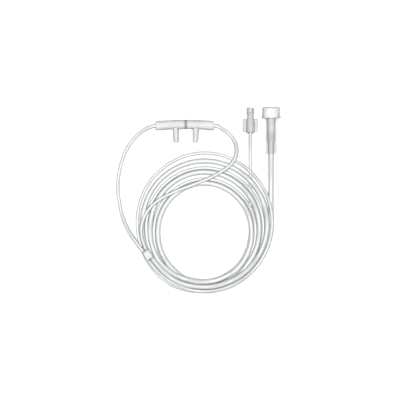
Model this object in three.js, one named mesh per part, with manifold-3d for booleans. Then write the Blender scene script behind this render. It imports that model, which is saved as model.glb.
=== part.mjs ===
// Carbon dioxide sampling nasal cannula, in millimetres, +Z up.
// It lies on a level floor at z = 0 with its prongs pointing towards -Y.
// The origin is at the centre of the flat back of the moulded nasal piece.

import * as THREE from 'three';
import { mergeVertices } from 'three/addons/utils/BufferGeometryUtils.js';
import Module from 'manifold-3d';

const wasm = await Module();
wasm.setup();

// Gaps
const FIT_GAP = 0.3; // between a piece and what it seats on or in
const FLOOR_GAP = 0.05; // under what only lies on the floor
const CUT_MARGIN = 1; // how far a bore's cutting shape reaches past the face that it opens

// Nasal piece: a hollow bar with two prongs and a divider in the middle of its lumen
const BODY_LENGTH = 58;
const BODY_DEPTH = 8.9;
const BODY_HEIGHT = 8.4;
const BODY_ARCH = 1.3; // how far the bar's middle stands forward of its ends
const BODY_CORNER = 3.4; // rounding of the upper edges of the section
const BODY_FOOT_CORNER = 1.2; // rounding beside the flat underside
const BODY_WALL = 1.3;
const BODY_END_WALL = 4;
const DIVIDER_X = 1;
const DIVIDER_WIDTH = 2;

// Prongs: tapered, hollow and turned a little towards each other
const PRONG_SPACING = 20.2;
const PRONG_LENGTH = 13;
const PRONG_ROOT_DIAMETER = 6.3;
const PRONG_TIP_DIAMETER = 4.8;
const PRONG_BORE = 3;
const PRONG_LEAN = 0.5; // how far each tip comes in towards the middle

// Tubing, outside diameters
const EAR_TUBE_DIAMETER = 3.4;
const SAMPLE_TUBE_DIAMETER = 3.2;
const OXYGEN_TUBE_DIAMETER = 5;
const EAR_TUBE_INSERTION = 1.5;
const TUBE_SIDES = 8;

// Coil of both tubes: two ellipses bound it in plan, and it is highest where its turns cross
const COIL_X = 19.8;
const COIL_Y = -101;
const COIL_OUTER_HALF_WIDTH = 69.1;
const COIL_OUTER_HALF_LENGTH = 70.5;
const COIL_OUTER_SHIFT = 4; // towards +Y
const COIL_BORE_HALF_WIDTH = 44.4;
const COIL_BORE_HALF_LENGTH = 47;
const COIL_BORE_SHIFT = -6.5;
const COIL_TURNS = 3; // each turn is one oxygen tube and one sampling tube, side by side
const COIL_CROSSING_HEIGHT = 12.6;
const COIL_CROSSING_START = 212; // degrees round from +X, where the tubes leave the junction
const COIL_CROSSING_FULL = [227, 302];
const COIL_CROSSING_END = 332;
const COIL_SEGMENTS = 48;

// Junction sleeve, a flat wedge over the four tube ends
const JUNCTION_X = -36.95;
const JUNCTION_Y = -129.8;
const JUNCTION_ANGLE = -54.5; // degrees, the way the long tubes leave it
const JUNCTION_LENGTH = 9;
const JUNCTION_NARROW_WIDTH = 6.9;
const JUNCTION_WIDE_WIDTH = 8.5;
const JUNCTION_THICKNESS = 5.4;
const JUNCTION_BEVEL = 0.6;

// Luer connector of the sampling tube, threaded, with two finger wings
const LUER_X = 65.6;
const LUER_MOUTH_Y = 17;
const LUER_LENGTH = 25.2;
const LUER_FLANGE_DIAMETER = 7.5;
const LUER_FLANGE_THICKNESS = 1.5;
const LUER_STEM_DIAMETER = 6.3;
const LUER_STEM_LENGTH = 11.3; // mouth to hub
const LUER_HUB_DIAMETER = 8.3;
const LUER_HUB_CHAMFER = 1.3;
const LUER_TAPER_BORE = 4.2;
const LUER_WING_SPAN = 14.7;
const LUER_WING_LENGTH = 12.5;
const LUER_WING_THICKNESS = 1.8;
const LUER_THREAD_STARTS = 2;
const LUER_THREAD_LEAD = 5; // along the axis in one turn of a rib
const LUER_THREAD_TURNS = 0.75; // of each rib
const LUER_THREAD_WIDTH = 1.3;
const LUER_THREAD_DIAMETER = 7.5;
const LUER_TUBE_INSERTION = 11;

// Oxygen connector: a head with a socket and a long barrel, inside a clear outer sleeve
const OXYGEN_X = 86.2;
const OXYGEN_MOUTH_Y = 17.2;
const OXYGEN_HEAD_DIAMETER = 16.7;
const OXYGEN_HEAD_LENGTH = 8.7;
const OXYGEN_RIM_DIAMETER = 18.3;
const OXYGEN_RIM_LENGTH = 1.5;
const OXYGEN_SOCKET_DIAMETER = 12.4;
const OXYGEN_SOCKET_DEPTH = 8;
const OXYGEN_BARREL_DIAMETER = 7.3;
const OXYGEN_BARREL_LENGTH = 24.3;
const OXYGEN_TUBE_INSERTION = 9;
const OXYGEN_GAS_BORE = 3.4;
const SLEEVE_DIAMETER = 11.3;
const SLEEVE_LENGTH = 36.5;
const SLEEVE_END_WALL = 1.2;
const ROUND_SEGMENTS = 32;

// Routes of the tubes that aren't coiled, chosen by hand. Each ends at the piece that it enters.
const EAR_TUBE_LEFT_ROUTE = [
  [-32.5, -1.4, 3.9],
  [-38.6, -3.9, 2.6],
  [-45.8, -8.8, 1.9],
  [-53.3, -16.9, 1.8],
  [-59.6, -27.2, 1.8],
  [-63.9, -40.0, 1.8],
  [-66.6, -54.4, 1.8],
  [-66.8, -66.6, 1.8],
  [-64.8, -80.4, 1.8],
  [-61.3, -94.3, 2.1],
  [-55.4, -107.4, 4.6],
  [-48.2, -117.6, 7.4],
];
const EAR_TUBE_RIGHT_ROUTE = [
  [32.0, -0.9, 4.0],
  [36.2, -3.2, 2.9],
  [43.8, -8.7, 1.9],
  [49.9, -16.6, 2.2],
  [51.7, -25.3, 4.6],
  [50.2, -33.0, 7.2],
  [45.5, -40.1, 7.2],
  [37.5, -46.1, 7.2],
  [28.7, -51.2, 7.2],
  [19.3, -55.4, 7.2],
  [7.7, -59.9, 7.2],
  [-6.3, -65.2, 7.2],
  [-20.1, -71.6, 7.2],
  [-29.5, -77.8, 7.2],
  [-37.0, -85.8, 7.2],
  [-41.6, -94.8, 7.2],
  [-43.5, -104.0, 7.2],
  [-42.9, -113.0, 7.4],
];
const SAMPLE_LEAD_ROUTE = [
  [65.5, -12.0, 4.0],
  [65.5, -18.0, 3.0],
  [65.5, -25.0, 1.9],
  [65.5, -33.0, 1.7],
  [65.5, -42.2, 1.7],
];
const OXYGEN_LEAD_ROUTE = [
  [86.2, -35.0, 5.2],
  [86.2, -43.0, 4.0],
  [86.2, -52.0, 2.8],
  [86.2, -60.0, 2.55],
  [86.2, -69.6, 2.55],
];

// Materials, as seen in the photograph
const plastic = (color, roughness) => new THREE.MeshStandardMaterial({ color, roughness, metalness: 0 });
const clearPvc = () => plastic(0xf4f6f6, 0.2);
const mouldedPvc = () => plastic(0xeef0f0, 0.3);
const rigidPlastic = () => plastic(0xe9ebeb, 0.25);
const dividerPlastic = () => plastic(0xa6a6a6, 0.5);

const cannula = new THREE.Group();

function addPiece(name, geometry, material, parent = cannula) {
  const piece = new THREE.Mesh(geometry, material);
  piece.name = name;
  parent.add(piece);
  return piece;
}

function toSolid(geometry) {
  const bare = geometry.index ? geometry.clone() : geometry;
  bare.deleteAttribute('normal');
  bare.deleteAttribute('uv');
  const merged = mergeVertices(bare, 1e-4);
  return new wasm.Manifold(
    new wasm.Mesh({
      numProp: 3,
      vertProperties: new Float32Array(merged.attributes.position.array),
      triVerts: new Uint32Array(merged.index.array),
    }),
  );
}

function toGeometry(solid) {
  const mesh = solid.getMesh();
  const geometry = new THREE.BufferGeometry();
  geometry.setAttribute('position', new THREE.BufferAttribute(new Float32Array(mesh.vertProperties), 3));
  geometry.setIndex(new THREE.BufferAttribute(new Uint32Array(mesh.triVerts), 1));
  geometry.computeVertexNormals();
  return geometry;
}

// A round section with a corner of the polygon at its lowest point
function roundSection(radius, sides) {
  const corners = [];
  for (let i = 0; i < sides; i += 1) {
    const angle = (i / sides) * 2 * Math.PI;
    corners.push(new THREE.Vector2(radius * Math.cos(angle), radius * Math.sin(angle)));
  }
  return new THREE.Shape(corners);
}

function tubeAlong(points, diameter) {
  const route = new THREE.CatmullRomCurve3(points.map((point) => new THREE.Vector3(...point)));
  const steps = Math.ceil(route.getLength() / (2 * diameter));
  return new THREE.ExtrudeGeometry(roundSection(diameter / 2, TUBE_SIDES), {
    steps,
    extrudePath: route,
    bevelEnabled: false,
  });
}

// A closed turned solid about +Y, from points [radius, y] that run so that its faces point out
function turned(profile, segments = ROUND_SEGMENTS) {
  const points = profile.map(([radius, y]) => new THREE.Vector2(radius, y));
  points.push(points[0].clone());
  return new THREE.LatheGeometry(points, segments);
}

// Nasal piece
const BODY_MID_Z = BODY_HEIGHT / 2;

function barSection(depth, height, upperCorner, lowerCorner) {
  const half = depth / 2;
  const low = -height / 2;
  const high = height / 2;
  const section = new THREE.Shape();
  section.moveTo(-half + lowerCorner, low);
  section.lineTo(half - lowerCorner, low);
  section.quadraticCurveTo(half, low, half, low + lowerCorner);
  section.lineTo(half, high - upperCorner);
  section.quadraticCurveTo(half, high, half - upperCorner, high);
  section.lineTo(-half + upperCorner, high);
  section.quadraticCurveTo(-half, high, -half, high - upperCorner);
  section.lineTo(-half, low + lowerCorner);
  section.quadraticCurveTo(-half, low, -half + lowerCorner, low);
  return section;
}

function archY(x) {
  const share = x / (BODY_LENGTH / 2);
  return BODY_ARCH * (0.35 - share * share);
}

// The bar runs along X, so its section's first axis becomes Y and its second Z
function archedBar(fromX, toX, depth, height, upperCorner, lowerCorner) {
  const length = toX - fromX;
  const slices = Math.max(1, Math.ceil(length / 5));
  const bar = new THREE.ExtrudeGeometry(barSection(depth, height, upperCorner, lowerCorner), {
    depth: length,
    steps: slices,
    bevelEnabled: false,
    curveSegments: 4,
  });
  bar.applyMatrix4(new THREE.Matrix4().set(0, 0, 1, fromX, 1, 0, 0, 0, 0, 1, 0, BODY_MID_Z, 0, 0, 0, 1));
  const places = bar.attributes.position;
  for (let i = 0; i < places.count; i += 1) {
    places.setY(i, places.getY(i) + archY(places.getX(i)));
  }
  return bar;
}

function prongAlong(side, rootDiameter, tipDiameter, startY, tipY) {
  const root = new THREE.Vector3(DIVIDER_X + (side * PRONG_SPACING) / 2, startY, BODY_MID_Z);
  const tip = new THREE.Vector3(root.x - side * PRONG_LEAN, tipY, BODY_MID_Z);
  const prong = new THREE.CylinderGeometry(tipDiameter / 2, rootDiameter / 2, root.distanceTo(tip), 20);
  const turn = new THREE.Quaternion().setFromUnitVectors(
    new THREE.Vector3(0, 1, 0),
    tip.clone().sub(root).normalize(),
  );
  prong.applyQuaternion(turn);
  prong.translate((root.x + tip.x) / 2, (root.y + tip.y) / 2, BODY_MID_Z);
  return toSolid(prong);
}

const LUMEN_HALF = BODY_LENGTH / 2 - BODY_END_WALL;
const LUMEN_DEPTH = BODY_DEPTH - 2 * BODY_WALL;
const LUMEN_HEIGHT = BODY_HEIGHT - 2 * BODY_WALL;
const LUMEN_CORNER = BODY_CORNER - BODY_WALL;
const LUMEN_FOOT_CORNER = BODY_FOOT_CORNER / 2;
const SOCKET_SIDES = 16;
const PRONG_ROOT_Y = archY(DIVIDER_X) - BODY_DEPTH / 2;
const PRONG_TIP_Y = PRONG_ROOT_Y - PRONG_LENGTH;

function nasalBody() {
  const half = BODY_LENGTH / 2;
  const outside = toSolid(archedBar(-half, half, BODY_DEPTH, BODY_HEIGHT, BODY_CORNER, BODY_FOOT_CORNER));
  const lumen = toSolid(
    archedBar(-LUMEN_HALF, LUMEN_HALF, LUMEN_DEPTH, LUMEN_HEIGHT, LUMEN_CORNER, LUMEN_FOOT_CORNER),
  );
  let body = outside;
  const insideWall = PRONG_ROOT_Y + BODY_WALL;
  for (const side of [-1, 1]) {
    body = body.add(prongAlong(side, PRONG_ROOT_DIAMETER, PRONG_TIP_DIAMETER, insideWall, PRONG_TIP_Y));
  }
  body = body.subtract(lumen);
  const boreStart = insideWall + BODY_WALL;
  const boreEnd = PRONG_TIP_Y - CUT_MARGIN;
  const socketRadius = EAR_TUBE_DIAMETER / 2 + FIT_GAP;
  const socketLength = BODY_END_WALL + 2 * CUT_MARGIN;
  for (const side of [-1, 1]) {
    body = body.subtract(prongAlong(side, PRONG_BORE, PRONG_BORE, boreStart, boreEnd));
    const socket = new THREE.CylinderGeometry(socketRadius, socketRadius, socketLength, SOCKET_SIDES);
    socket.rotateZ(Math.PI / 2);
    socket.translate(side * (half - BODY_END_WALL / 2), archY(half), BODY_MID_Z);
    body = body.subtract(toSolid(socket));
  }
  return toGeometry(body);
}

function lumenDivider() {
  return archedBar(
    DIVIDER_X - DIVIDER_WIDTH / 2,
    DIVIDER_X + DIVIDER_WIDTH / 2,
    LUMEN_DEPTH - 2 * FIT_GAP,
    LUMEN_HEIGHT - 2 * FIT_GAP,
    LUMEN_CORNER,
    LUMEN_FOOT_CORNER,
  );
}

addPiece('nasal_body', nasalBody(), mouldedPvc());
addPiece('lumen_divider', lumenDivider(), dividerPlastic());

// Coil of both tubes
function smoothStep(value, from, to) {
  const share = Math.min(1, Math.max(0, (value - from) / (to - from)));
  return share * share * (3 - 2 * share);
}

function coilHeight(degrees) {
  const rise = smoothStep(degrees, COIL_CROSSING_START, COIL_CROSSING_FULL[0]);
  const fall = smoothStep(degrees, COIL_CROSSING_FULL[1], COIL_CROSSING_END);
  return OXYGEN_TUBE_DIAMETER + (COIL_CROSSING_HEIGHT - OXYGEN_TUBE_DIAMETER) * (rise - fall);
}

// The section across the coil: s is 0 at the bore and 1 outside, t is the share of its height
function coilSection() {
  const turnWidth = OXYGEN_TUBE_DIAMETER + SAMPLE_TUBE_DIAMETER;
  const fullWidth = COIL_TURNS * turnWidth;
  const section = [[0, 0]];
  const ridge = (start, diameter) => {
    for (const degrees of [150, 90, 30]) {
      const angle = THREE.MathUtils.degToRad(degrees);
      const s = (start + (diameter / 2) * (1 + Math.cos(angle))) / fullWidth;
      section.push([s, ((diameter / 2) * (1 + Math.sin(angle))) / OXYGEN_TUBE_DIAMETER]);
    }
  };
  section.push([0, 0.5]);
  for (let turn = 0; turn < COIL_TURNS; turn += 1) {
    ridge(turn * turnWidth, OXYGEN_TUBE_DIAMETER);
    ridge(turn * turnWidth + OXYGEN_TUBE_DIAMETER, SAMPLE_TUBE_DIAMETER);
  }
  section.push([1, SAMPLE_TUBE_DIAMETER / OXYGEN_TUBE_DIAMETER / 2]);
  section.push([1, 0]);
  return section;
}

function tubingCoil() {
  const section = coilSection();
  section.push(section[0]);
  section.reverse();
  const ring = new THREE.LatheGeometry(
    section.map(([s, t]) => new THREE.Vector2(1 + s, t)),
    COIL_SEGMENTS,
    THREE.MathUtils.degToRad(COIL_CROSSING_START),
  );
  const places = ring.attributes.position;
  for (let i = 0; i < places.count; i += 1) {
    const angle = Math.atan2(places.getX(i), places.getZ(i));
    const s = Math.hypot(places.getX(i), places.getZ(i)) - 1;
    const degrees = (THREE.MathUtils.radToDeg(angle) + 359.999) % 360;
    const boreX = COIL_BORE_HALF_WIDTH * Math.cos(angle);
    const boreY = COIL_BORE_SHIFT + COIL_BORE_HALF_LENGTH * Math.sin(angle);
    const outerX = COIL_OUTER_HALF_WIDTH * Math.cos(angle);
    const outerY = COIL_OUTER_SHIFT + COIL_OUTER_HALF_LENGTH * Math.sin(angle);
    places.setXYZ(
      i,
      COIL_X + boreX + s * (outerX - boreX),
      COIL_Y + boreY + s * (outerY - boreY),
      FLOOR_GAP + places.getY(i) * coilHeight(degrees),
    );
  }
  return toGeometry(toSolid(ring));
}

addPiece('tubing_coil', tubingCoil(), clearPvc());

// Junction sleeve
const JUNCTION_Z = FLOOR_GAP + OXYGEN_TUBE_DIAMETER + FIT_GAP + JUNCTION_THICKNESS / 2;
const junction = new THREE.Group();
junction.position.set(JUNCTION_X, JUNCTION_Y, JUNCTION_Z);
junction.rotation.z = THREE.MathUtils.degToRad(JUNCTION_ANGLE);
cannula.add(junction);
cannula.updateMatrixWorld(true);

function junctionSleeve() {
  const near = JUNCTION_NARROW_WIDTH / 2 - JUNCTION_BEVEL;
  const far = JUNCTION_WIDE_WIDTH / 2 - JUNCTION_BEVEL;
  const half = JUNCTION_LENGTH / 2 - JUNCTION_BEVEL;
  const outline = new THREE.Shape([
    new THREE.Vector2(-half, -near),
    new THREE.Vector2(half, -far),
    new THREE.Vector2(half, far),
    new THREE.Vector2(-half, near),
  ]);
  const wedge = new THREE.ExtrudeGeometry(outline, {
    depth: JUNCTION_THICKNESS - 2 * JUNCTION_BEVEL,
    bevelThickness: JUNCTION_BEVEL,
    bevelSize: JUNCTION_BEVEL,
    bevelSegments: 2,
  });
  wedge.translate(0, 0, JUNCTION_BEVEL - JUNCTION_THICKNESS / 2);
  return wedge;
}

addPiece('junction_sleeve', junctionSleeve(), mouldedPvc(), junction);

// Ear tubes, from the bar's end sockets to the narrow end of the junction sleeve
function earTube(side, route) {
  const endX = side * (BODY_LENGTH / 2);
  const endY = archY(endX);
  const entries = [2, 0].map((back) => {
    const x = -JUNCTION_LENGTH / 2 - FIT_GAP - back;
    const y = side * (EAR_TUBE_DIAMETER / 2 + FIT_GAP / 2);
    return junction.localToWorld(new THREE.Vector3(x, y, 0)).toArray();
  });
  const start = [
    [endX - side * EAR_TUBE_INSERTION, endY, BODY_MID_Z],
    [endX, endY, BODY_MID_Z],
  ];
  return tubeAlong([...start, ...route, ...entries], EAR_TUBE_DIAMETER);
}

addPiece('ear_tube_left', earTube(-1, EAR_TUBE_LEFT_ROUTE), clearPvc());
addPiece('ear_tube_right', earTube(1, EAR_TUBE_RIGHT_ROUTE), clearPvc());

// Luer connector, about its own axis along +Y, with its mouth at y = 0
const LUER_Z = FLOOR_GAP + LUER_HUB_DIAMETER / 2;
const LUER_TUBE_BORE = SAMPLE_TUBE_DIAMETER + 2 * FIT_GAP;

function luerRib(start) {
  const points = [];
  const steps = 16 * LUER_THREAD_TURNS;
  const middle = (LUER_STEM_DIAMETER + LUER_THREAD_DIAMETER - LUER_THREAD_WIDTH) / 4;
  for (let i = 0; i <= steps; i += 1) {
    const turns = (i / steps) * LUER_THREAD_TURNS;
    const angle = (turns + start / LUER_THREAD_STARTS) * 2 * Math.PI;
    const y = -LUER_FLANGE_THICKNESS - LUER_THREAD_WIDTH - LUER_THREAD_LEAD * turns;
    points.push(new THREE.Vector3(middle * Math.cos(angle), y, middle * Math.sin(angle)));
  }
  const rib = new THREE.ExtrudeGeometry(roundSection(LUER_THREAD_WIDTH / 2, 6), {
    steps,
    extrudePath: new THREE.CatmullRomCurve3(points),
    bevelEnabled: false,
  });
  return toSolid(rib);
}

function luerConnector() {
  const hub = LUER_HUB_DIAMETER / 2;
  const stem = LUER_STEM_DIAMETER / 2;
  const flange = LUER_FLANGE_DIAMETER / 2;
  const tubeBore = LUER_TUBE_BORE / 2;
  const taper = LUER_TAPER_BORE / 2;
  const boreStep = -(LUER_LENGTH - LUER_TUBE_INSERTION - FIT_GAP);
  const outside = turned([
    [0, -LUER_LENGTH],
    [hub - LUER_HUB_CHAMFER, -LUER_LENGTH],
    [hub, -LUER_LENGTH + LUER_HUB_CHAMFER],
    [hub, -LUER_STEM_LENGTH],
    [stem, -LUER_STEM_LENGTH],
    [stem, -LUER_FLANGE_THICKNESS],
    [flange, -LUER_FLANGE_THICKNESS],
    [flange, 0],
    [0, 0],
  ]);
  const bore = turned([
    [0, -LUER_LENGTH - CUT_MARGIN],
    [tubeBore, -LUER_LENGTH - CUT_MARGIN],
    [tubeBore, boreStep],
    [tubeBore - 2 * FIT_GAP, boreStep],
    [taper, CUT_MARGIN],
    [0, CUT_MARGIN],
  ]);
  const wings = new THREE.BoxGeometry(LUER_WING_SPAN, LUER_WING_LENGTH, LUER_WING_THICKNESS);
  wings.translate(0, -LUER_STEM_LENGTH - LUER_WING_LENGTH / 2, 0);
  let body = toSolid(outside).add(toSolid(wings));
  for (let start = 0; start < LUER_THREAD_STARTS; start += 1) {
    body = body.add(luerRib(start));
  }
  return toGeometry(body.subtract(toSolid(bore)));
}

const luer = addPiece('luer_connector', luerConnector(), rigidPlastic());
luer.position.set(LUER_X, LUER_MOUTH_Y, LUER_Z);

const luerTubeEnd = LUER_MOUTH_Y - LUER_LENGTH;
addPiece(
  'sample_tube_lead',
  tubeAlong(
    [
      [LUER_X, luerTubeEnd + LUER_TUBE_INSERTION, LUER_Z],
      [LUER_X, luerTubeEnd + LUER_TUBE_INSERTION / 2, LUER_Z],
      [LUER_X, luerTubeEnd, LUER_Z],
      ...SAMPLE_LEAD_ROUTE,
    ],
    SAMPLE_TUBE_DIAMETER,
  ),
  clearPvc(),
);

// Oxygen connector, about its own axis along +Y, with y = 0 at the sleeve's tube end.
// It leans on its rim and on the sleeve's end.
const OXYGEN_LEAN = Math.atan((OXYGEN_RIM_DIAMETER - SLEEVE_DIAMETER) / 2 / SLEEVE_LENGTH);
const OXYGEN_LENGTH = SLEEVE_LENGTH + OXYGEN_RIM_LENGTH + OXYGEN_HEAD_LENGTH;
const oxygen = new THREE.Group();
oxygen.position.set(
  OXYGEN_X,
  OXYGEN_MOUTH_Y - OXYGEN_LENGTH * Math.cos(OXYGEN_LEAN),
  FLOOR_GAP + (SLEEVE_DIAMETER / 2) * Math.cos(OXYGEN_LEAN),
);
oxygen.rotation.x = OXYGEN_LEAN;
cannula.add(oxygen);
cannula.updateMatrixWorld(true);

function oxygenConnectorBody() {
  const rimY = SLEEVE_LENGTH + FIT_GAP;
  const barrelEnd = SLEEVE_LENGTH - OXYGEN_BARREL_LENGTH;
  const headY = SLEEVE_LENGTH + OXYGEN_RIM_LENGTH;
  const socketY = OXYGEN_LENGTH - OXYGEN_SOCKET_DEPTH;
  const tubeStop = barrelEnd + OXYGEN_TUBE_INSERTION + FIT_GAP;
  const barrel = OXYGEN_BARREL_DIAMETER / 2;
  const rim = OXYGEN_RIM_DIAMETER / 2;
  const head = OXYGEN_HEAD_DIAMETER / 2;
  const socket = OXYGEN_SOCKET_DIAMETER / 2;
  const tubeBore = OXYGEN_TUBE_DIAMETER / 2 + FIT_GAP;
  const gasBore = OXYGEN_GAS_BORE / 2;
  return turned([
    [tubeBore, barrelEnd],
    [barrel, barrelEnd],
    [barrel, rimY],
    [rim, rimY],
    [rim, headY],
    [head, headY],
    [head, OXYGEN_LENGTH],
    [socket, OXYGEN_LENGTH],
    [socket, socketY],
    [gasBore, socketY],
    [gasBore, tubeStop],
    [tubeBore, tubeStop],
  ]);
}

function oxygenConnectorSleeve() {
  const outside = SLEEVE_DIAMETER / 2;
  const bore = OXYGEN_BARREL_DIAMETER / 2 + FIT_GAP;
  const tubeHole = OXYGEN_TUBE_DIAMETER / 2 + FIT_GAP;
  return turned([
    [tubeHole, 0],
    [outside, 0],
    [outside, SLEEVE_LENGTH],
    [bore, SLEEVE_LENGTH],
    [bore, SLEEVE_END_WALL],
    [tubeHole, SLEEVE_END_WALL],
  ]);
}

addPiece('oxygen_connector_body', oxygenConnectorBody(), rigidPlastic(), oxygen);
addPiece('oxygen_connector_sleeve', oxygenConnectorSleeve(), clearPvc(), oxygen);

const oxygenTubeInside = [
  SLEEVE_LENGTH - OXYGEN_BARREL_LENGTH + OXYGEN_TUBE_INSERTION,
  SLEEVE_LENGTH - OXYGEN_BARREL_LENGTH,
  0,
].map((y) => oxygen.localToWorld(new THREE.Vector3(0, y, 0)).toArray());
addPiece(
  'oxygen_tube_lead',
  tubeAlong([...oxygenTubeInside, ...OXYGEN_LEAD_ROUTE], OXYGEN_TUBE_DIAMETER),
  clearPvc(),
);

export default cannula;
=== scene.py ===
"""Looks of the carbon dioxide sampling nasal cannula, lying coiled on a pale floor.

Lengths are worked out in millimetres in the part's own frame and become metres where a mesh is made.
"""

import math

import bmesh
import bpy
import numpy as np
from mathutils import Matrix, Vector


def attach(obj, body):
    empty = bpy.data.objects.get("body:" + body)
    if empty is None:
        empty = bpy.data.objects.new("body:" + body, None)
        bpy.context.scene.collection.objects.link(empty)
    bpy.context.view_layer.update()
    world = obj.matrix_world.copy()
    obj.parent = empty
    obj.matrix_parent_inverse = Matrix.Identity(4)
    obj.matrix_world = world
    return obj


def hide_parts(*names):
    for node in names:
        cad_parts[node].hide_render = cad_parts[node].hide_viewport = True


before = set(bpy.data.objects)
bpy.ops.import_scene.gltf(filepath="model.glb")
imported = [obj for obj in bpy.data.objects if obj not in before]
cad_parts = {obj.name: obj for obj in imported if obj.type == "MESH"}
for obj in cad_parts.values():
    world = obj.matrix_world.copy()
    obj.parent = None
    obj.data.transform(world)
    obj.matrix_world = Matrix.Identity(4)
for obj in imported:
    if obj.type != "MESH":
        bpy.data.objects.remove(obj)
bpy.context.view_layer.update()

MM = 0.001

# Sizes of the moulded pieces, as in the part
FIT_GAP = 0.3
FLOOR_GAP = 0.05
SEAT_GAP = 0.1  # round a tube in its seat
STOP_GAP = 0.2  # before a tube's end
OVERCUT = 1.0  # how far a cutting body reaches past what it cuts
BODY_LENGTH = 58.0
BODY_DEPTH = 8.9
BODY_HEIGHT = 8.4
BODY_ARCH = 1.3
BODY_ARCH_MIDDLE = 0.35  # the middle's place in +Y, as a share of the arch
BODY_CORNER = 3.4
BODY_FOOT_CORNER = 1.2
BODY_WALL = 1.3
BODY_END_WALL = 4.0
BODY_MID_Z = BODY_HEIGHT / 2
DIVIDER_X = 1.0
DIVIDER_WIDTH = 2.0
DIVIDER_SIDE_GAP = 0.05
DIVIDER_SLOT_GAP = 0.12
DIVIDER_ROUNDING = 0.2
PRONG_SPACING = 20.2
PRONG_LENGTH = 13.0
PRONG_ROOT_DIAMETER = 6.3
PRONG_TIP_DIAMETER = 4.8
PRONG_BORE = 3.0
PRONG_LEAN = 0.5

# Tubing: outside diameters and bores
EAR_TUBE = (3.4, 2.0)
SAMPLE_TUBE = (3.2, 1.6)
OXYGEN_TUBE = (5.0, 3.3)
EAR_TUBE_INSERTION = 1.5
TUBE_SIDES = 24
RING_SPACING = 2.2
FINE_STEP = 0.4  # between the points that a route's even steps are measured on

COIL_X = 19.8
COIL_Y = -101.0

JUNCTION_X = -36.95
JUNCTION_Y = -129.8
JUNCTION_ANGLE = math.radians(-54.5)
JUNCTION_LENGTH = 9.0
JUNCTION_NARROW_WIDTH = 6.9
JUNCTION_WIDE_WIDTH = 8.5
JUNCTION_THICKNESS = 5.4
JUNCTION_CORNER = 1.7
JUNCTION_OXYGEN_SIDE = 1.6
JUNCTION_SAMPLE_SIDE = -2.5
JUNCTION_ENTRY_RUN = 2.0  # how far the ear tubes run straight before it
JUNCTION_Z = FLOOR_GAP + OXYGEN_TUBE[0] + FIT_GAP + JUNCTION_THICKNESS / 2

LUER_X = 65.6
LUER_MOUTH_Y = 17.0
LUER_LENGTH = 25.2
LUER_FLANGE_DIAMETER = 7.5
LUER_FLANGE_THICKNESS = 1.5
LUER_STEM_DIAMETER = 6.3
LUER_STEM_LENGTH = 11.3
LUER_HUB_DIAMETER = 8.3
LUER_HUB_CHAMFER = 1.3
LUER_TAPER_BORE = 4.2
LUER_WING_SPAN = 14.7
LUER_WING_LENGTH = 12.5
LUER_WING_THICKNESS = 1.8
LUER_WING_CORNER = 0.4
LUER_TUBE_STEP = 0.6
LUER_THREAD_STARTS = 2
LUER_THREAD_LEAD = 5.0
LUER_THREAD_TURNS = 0.75
LUER_THREAD_WIDTH = 1.3
LUER_THREAD_DIAMETER = 7.5
LUER_TUBE_INSERTION = 11.0
LUER_Z = FLOOR_GAP + LUER_HUB_DIAMETER / 2

OXYGEN_X = 86.2
OXYGEN_MOUTH_Y = 17.2
OXYGEN_HEAD_DIAMETER = 16.7
OXYGEN_HEAD_LENGTH = 8.7
OXYGEN_RIM_DIAMETER = 18.3
OXYGEN_RIM_LENGTH = 1.5
OXYGEN_SOCKET_DIAMETER = 12.4
OXYGEN_SOCKET_DEPTH = 8.0
OXYGEN_SOCKET_TAPER = 0.3
OXYGEN_BARREL_DIAMETER = 7.3
OXYGEN_BARREL_LENGTH = 24.3
OXYGEN_TUBE_INSERTION = 9.0
OXYGEN_GAS_BORE = 3.4
SLEEVE_DIAMETER = 11.3
SLEEVE_LENGTH = 36.5
SLEEVE_END_WALL = 1.2
SLEEVE_BORE_GAP = 0.15
OXYGEN_LENGTH = SLEEVE_LENGTH + OXYGEN_RIM_LENGTH + OXYGEN_HEAD_LENGTH
OXYGEN_LEAN = math.atan((OXYGEN_RIM_DIAMETER - SLEEVE_DIAMETER) / 2 / SLEEVE_LENGTH)

# Routes of the tubes that aren't coiled, the same points as in the part
EAR_TUBE_LEFT_ROUTE = [
    (-32.5, -1.4, 3.9),
    (-38.6, -3.9, 2.6),
    (-45.8, -8.8, 1.9),
    (-53.3, -16.9, 1.8),
    (-59.6, -27.2, 1.8),
    (-63.9, -40.0, 1.8),
    (-66.6, -54.4, 1.8),
    (-66.8, -66.6, 1.8),
    (-64.8, -80.4, 1.8),
    (-61.3, -94.3, 2.1),
    (-55.4, -107.4, 4.6),
    (-48.2, -117.6, 7.4),
]
EAR_TUBE_RIGHT_ROUTE = [
    (32.0, -0.9, 4.0),
    (36.2, -3.2, 2.9),
    (43.8, -8.7, 1.9),
    (49.9, -16.6, 2.2),
    (51.7, -25.3, 4.6),
    (50.2, -33.0, 7.2),
    (45.5, -40.1, 7.2),
    (37.5, -46.1, 7.2),
    (28.7, -51.2, 7.2),
    (19.3, -55.4, 7.2),
    (7.7, -59.9, 7.2),
    (-6.3, -65.2, 7.2),
    (-20.1, -71.6, 7.2),
    (-29.5, -77.8, 7.2),
    (-37.0, -85.8, 7.2),
    (-41.6, -94.8, 7.2),
    (-43.5, -104.0, 7.2),
    (-42.9, -113.0, 7.4),
]
SAMPLE_LEAD_ROUTE = [
    (65.5, -12.0, 4.0),
    (65.5, -18.0, 3.0),
    (65.5, -25.0, 1.9),
    (65.5, -33.0, 1.7),
    (65.5, -42.2, 1.7),
]
OXYGEN_LEAD_ROUTE = [
    (86.2, -35.0, 5.2),
    (86.2, -43.0, 4.0),
    (86.2, -52.0, 2.8),
    (86.2, -60.0, 2.55),
    (86.2, -69.6, 2.55),
]

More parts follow.
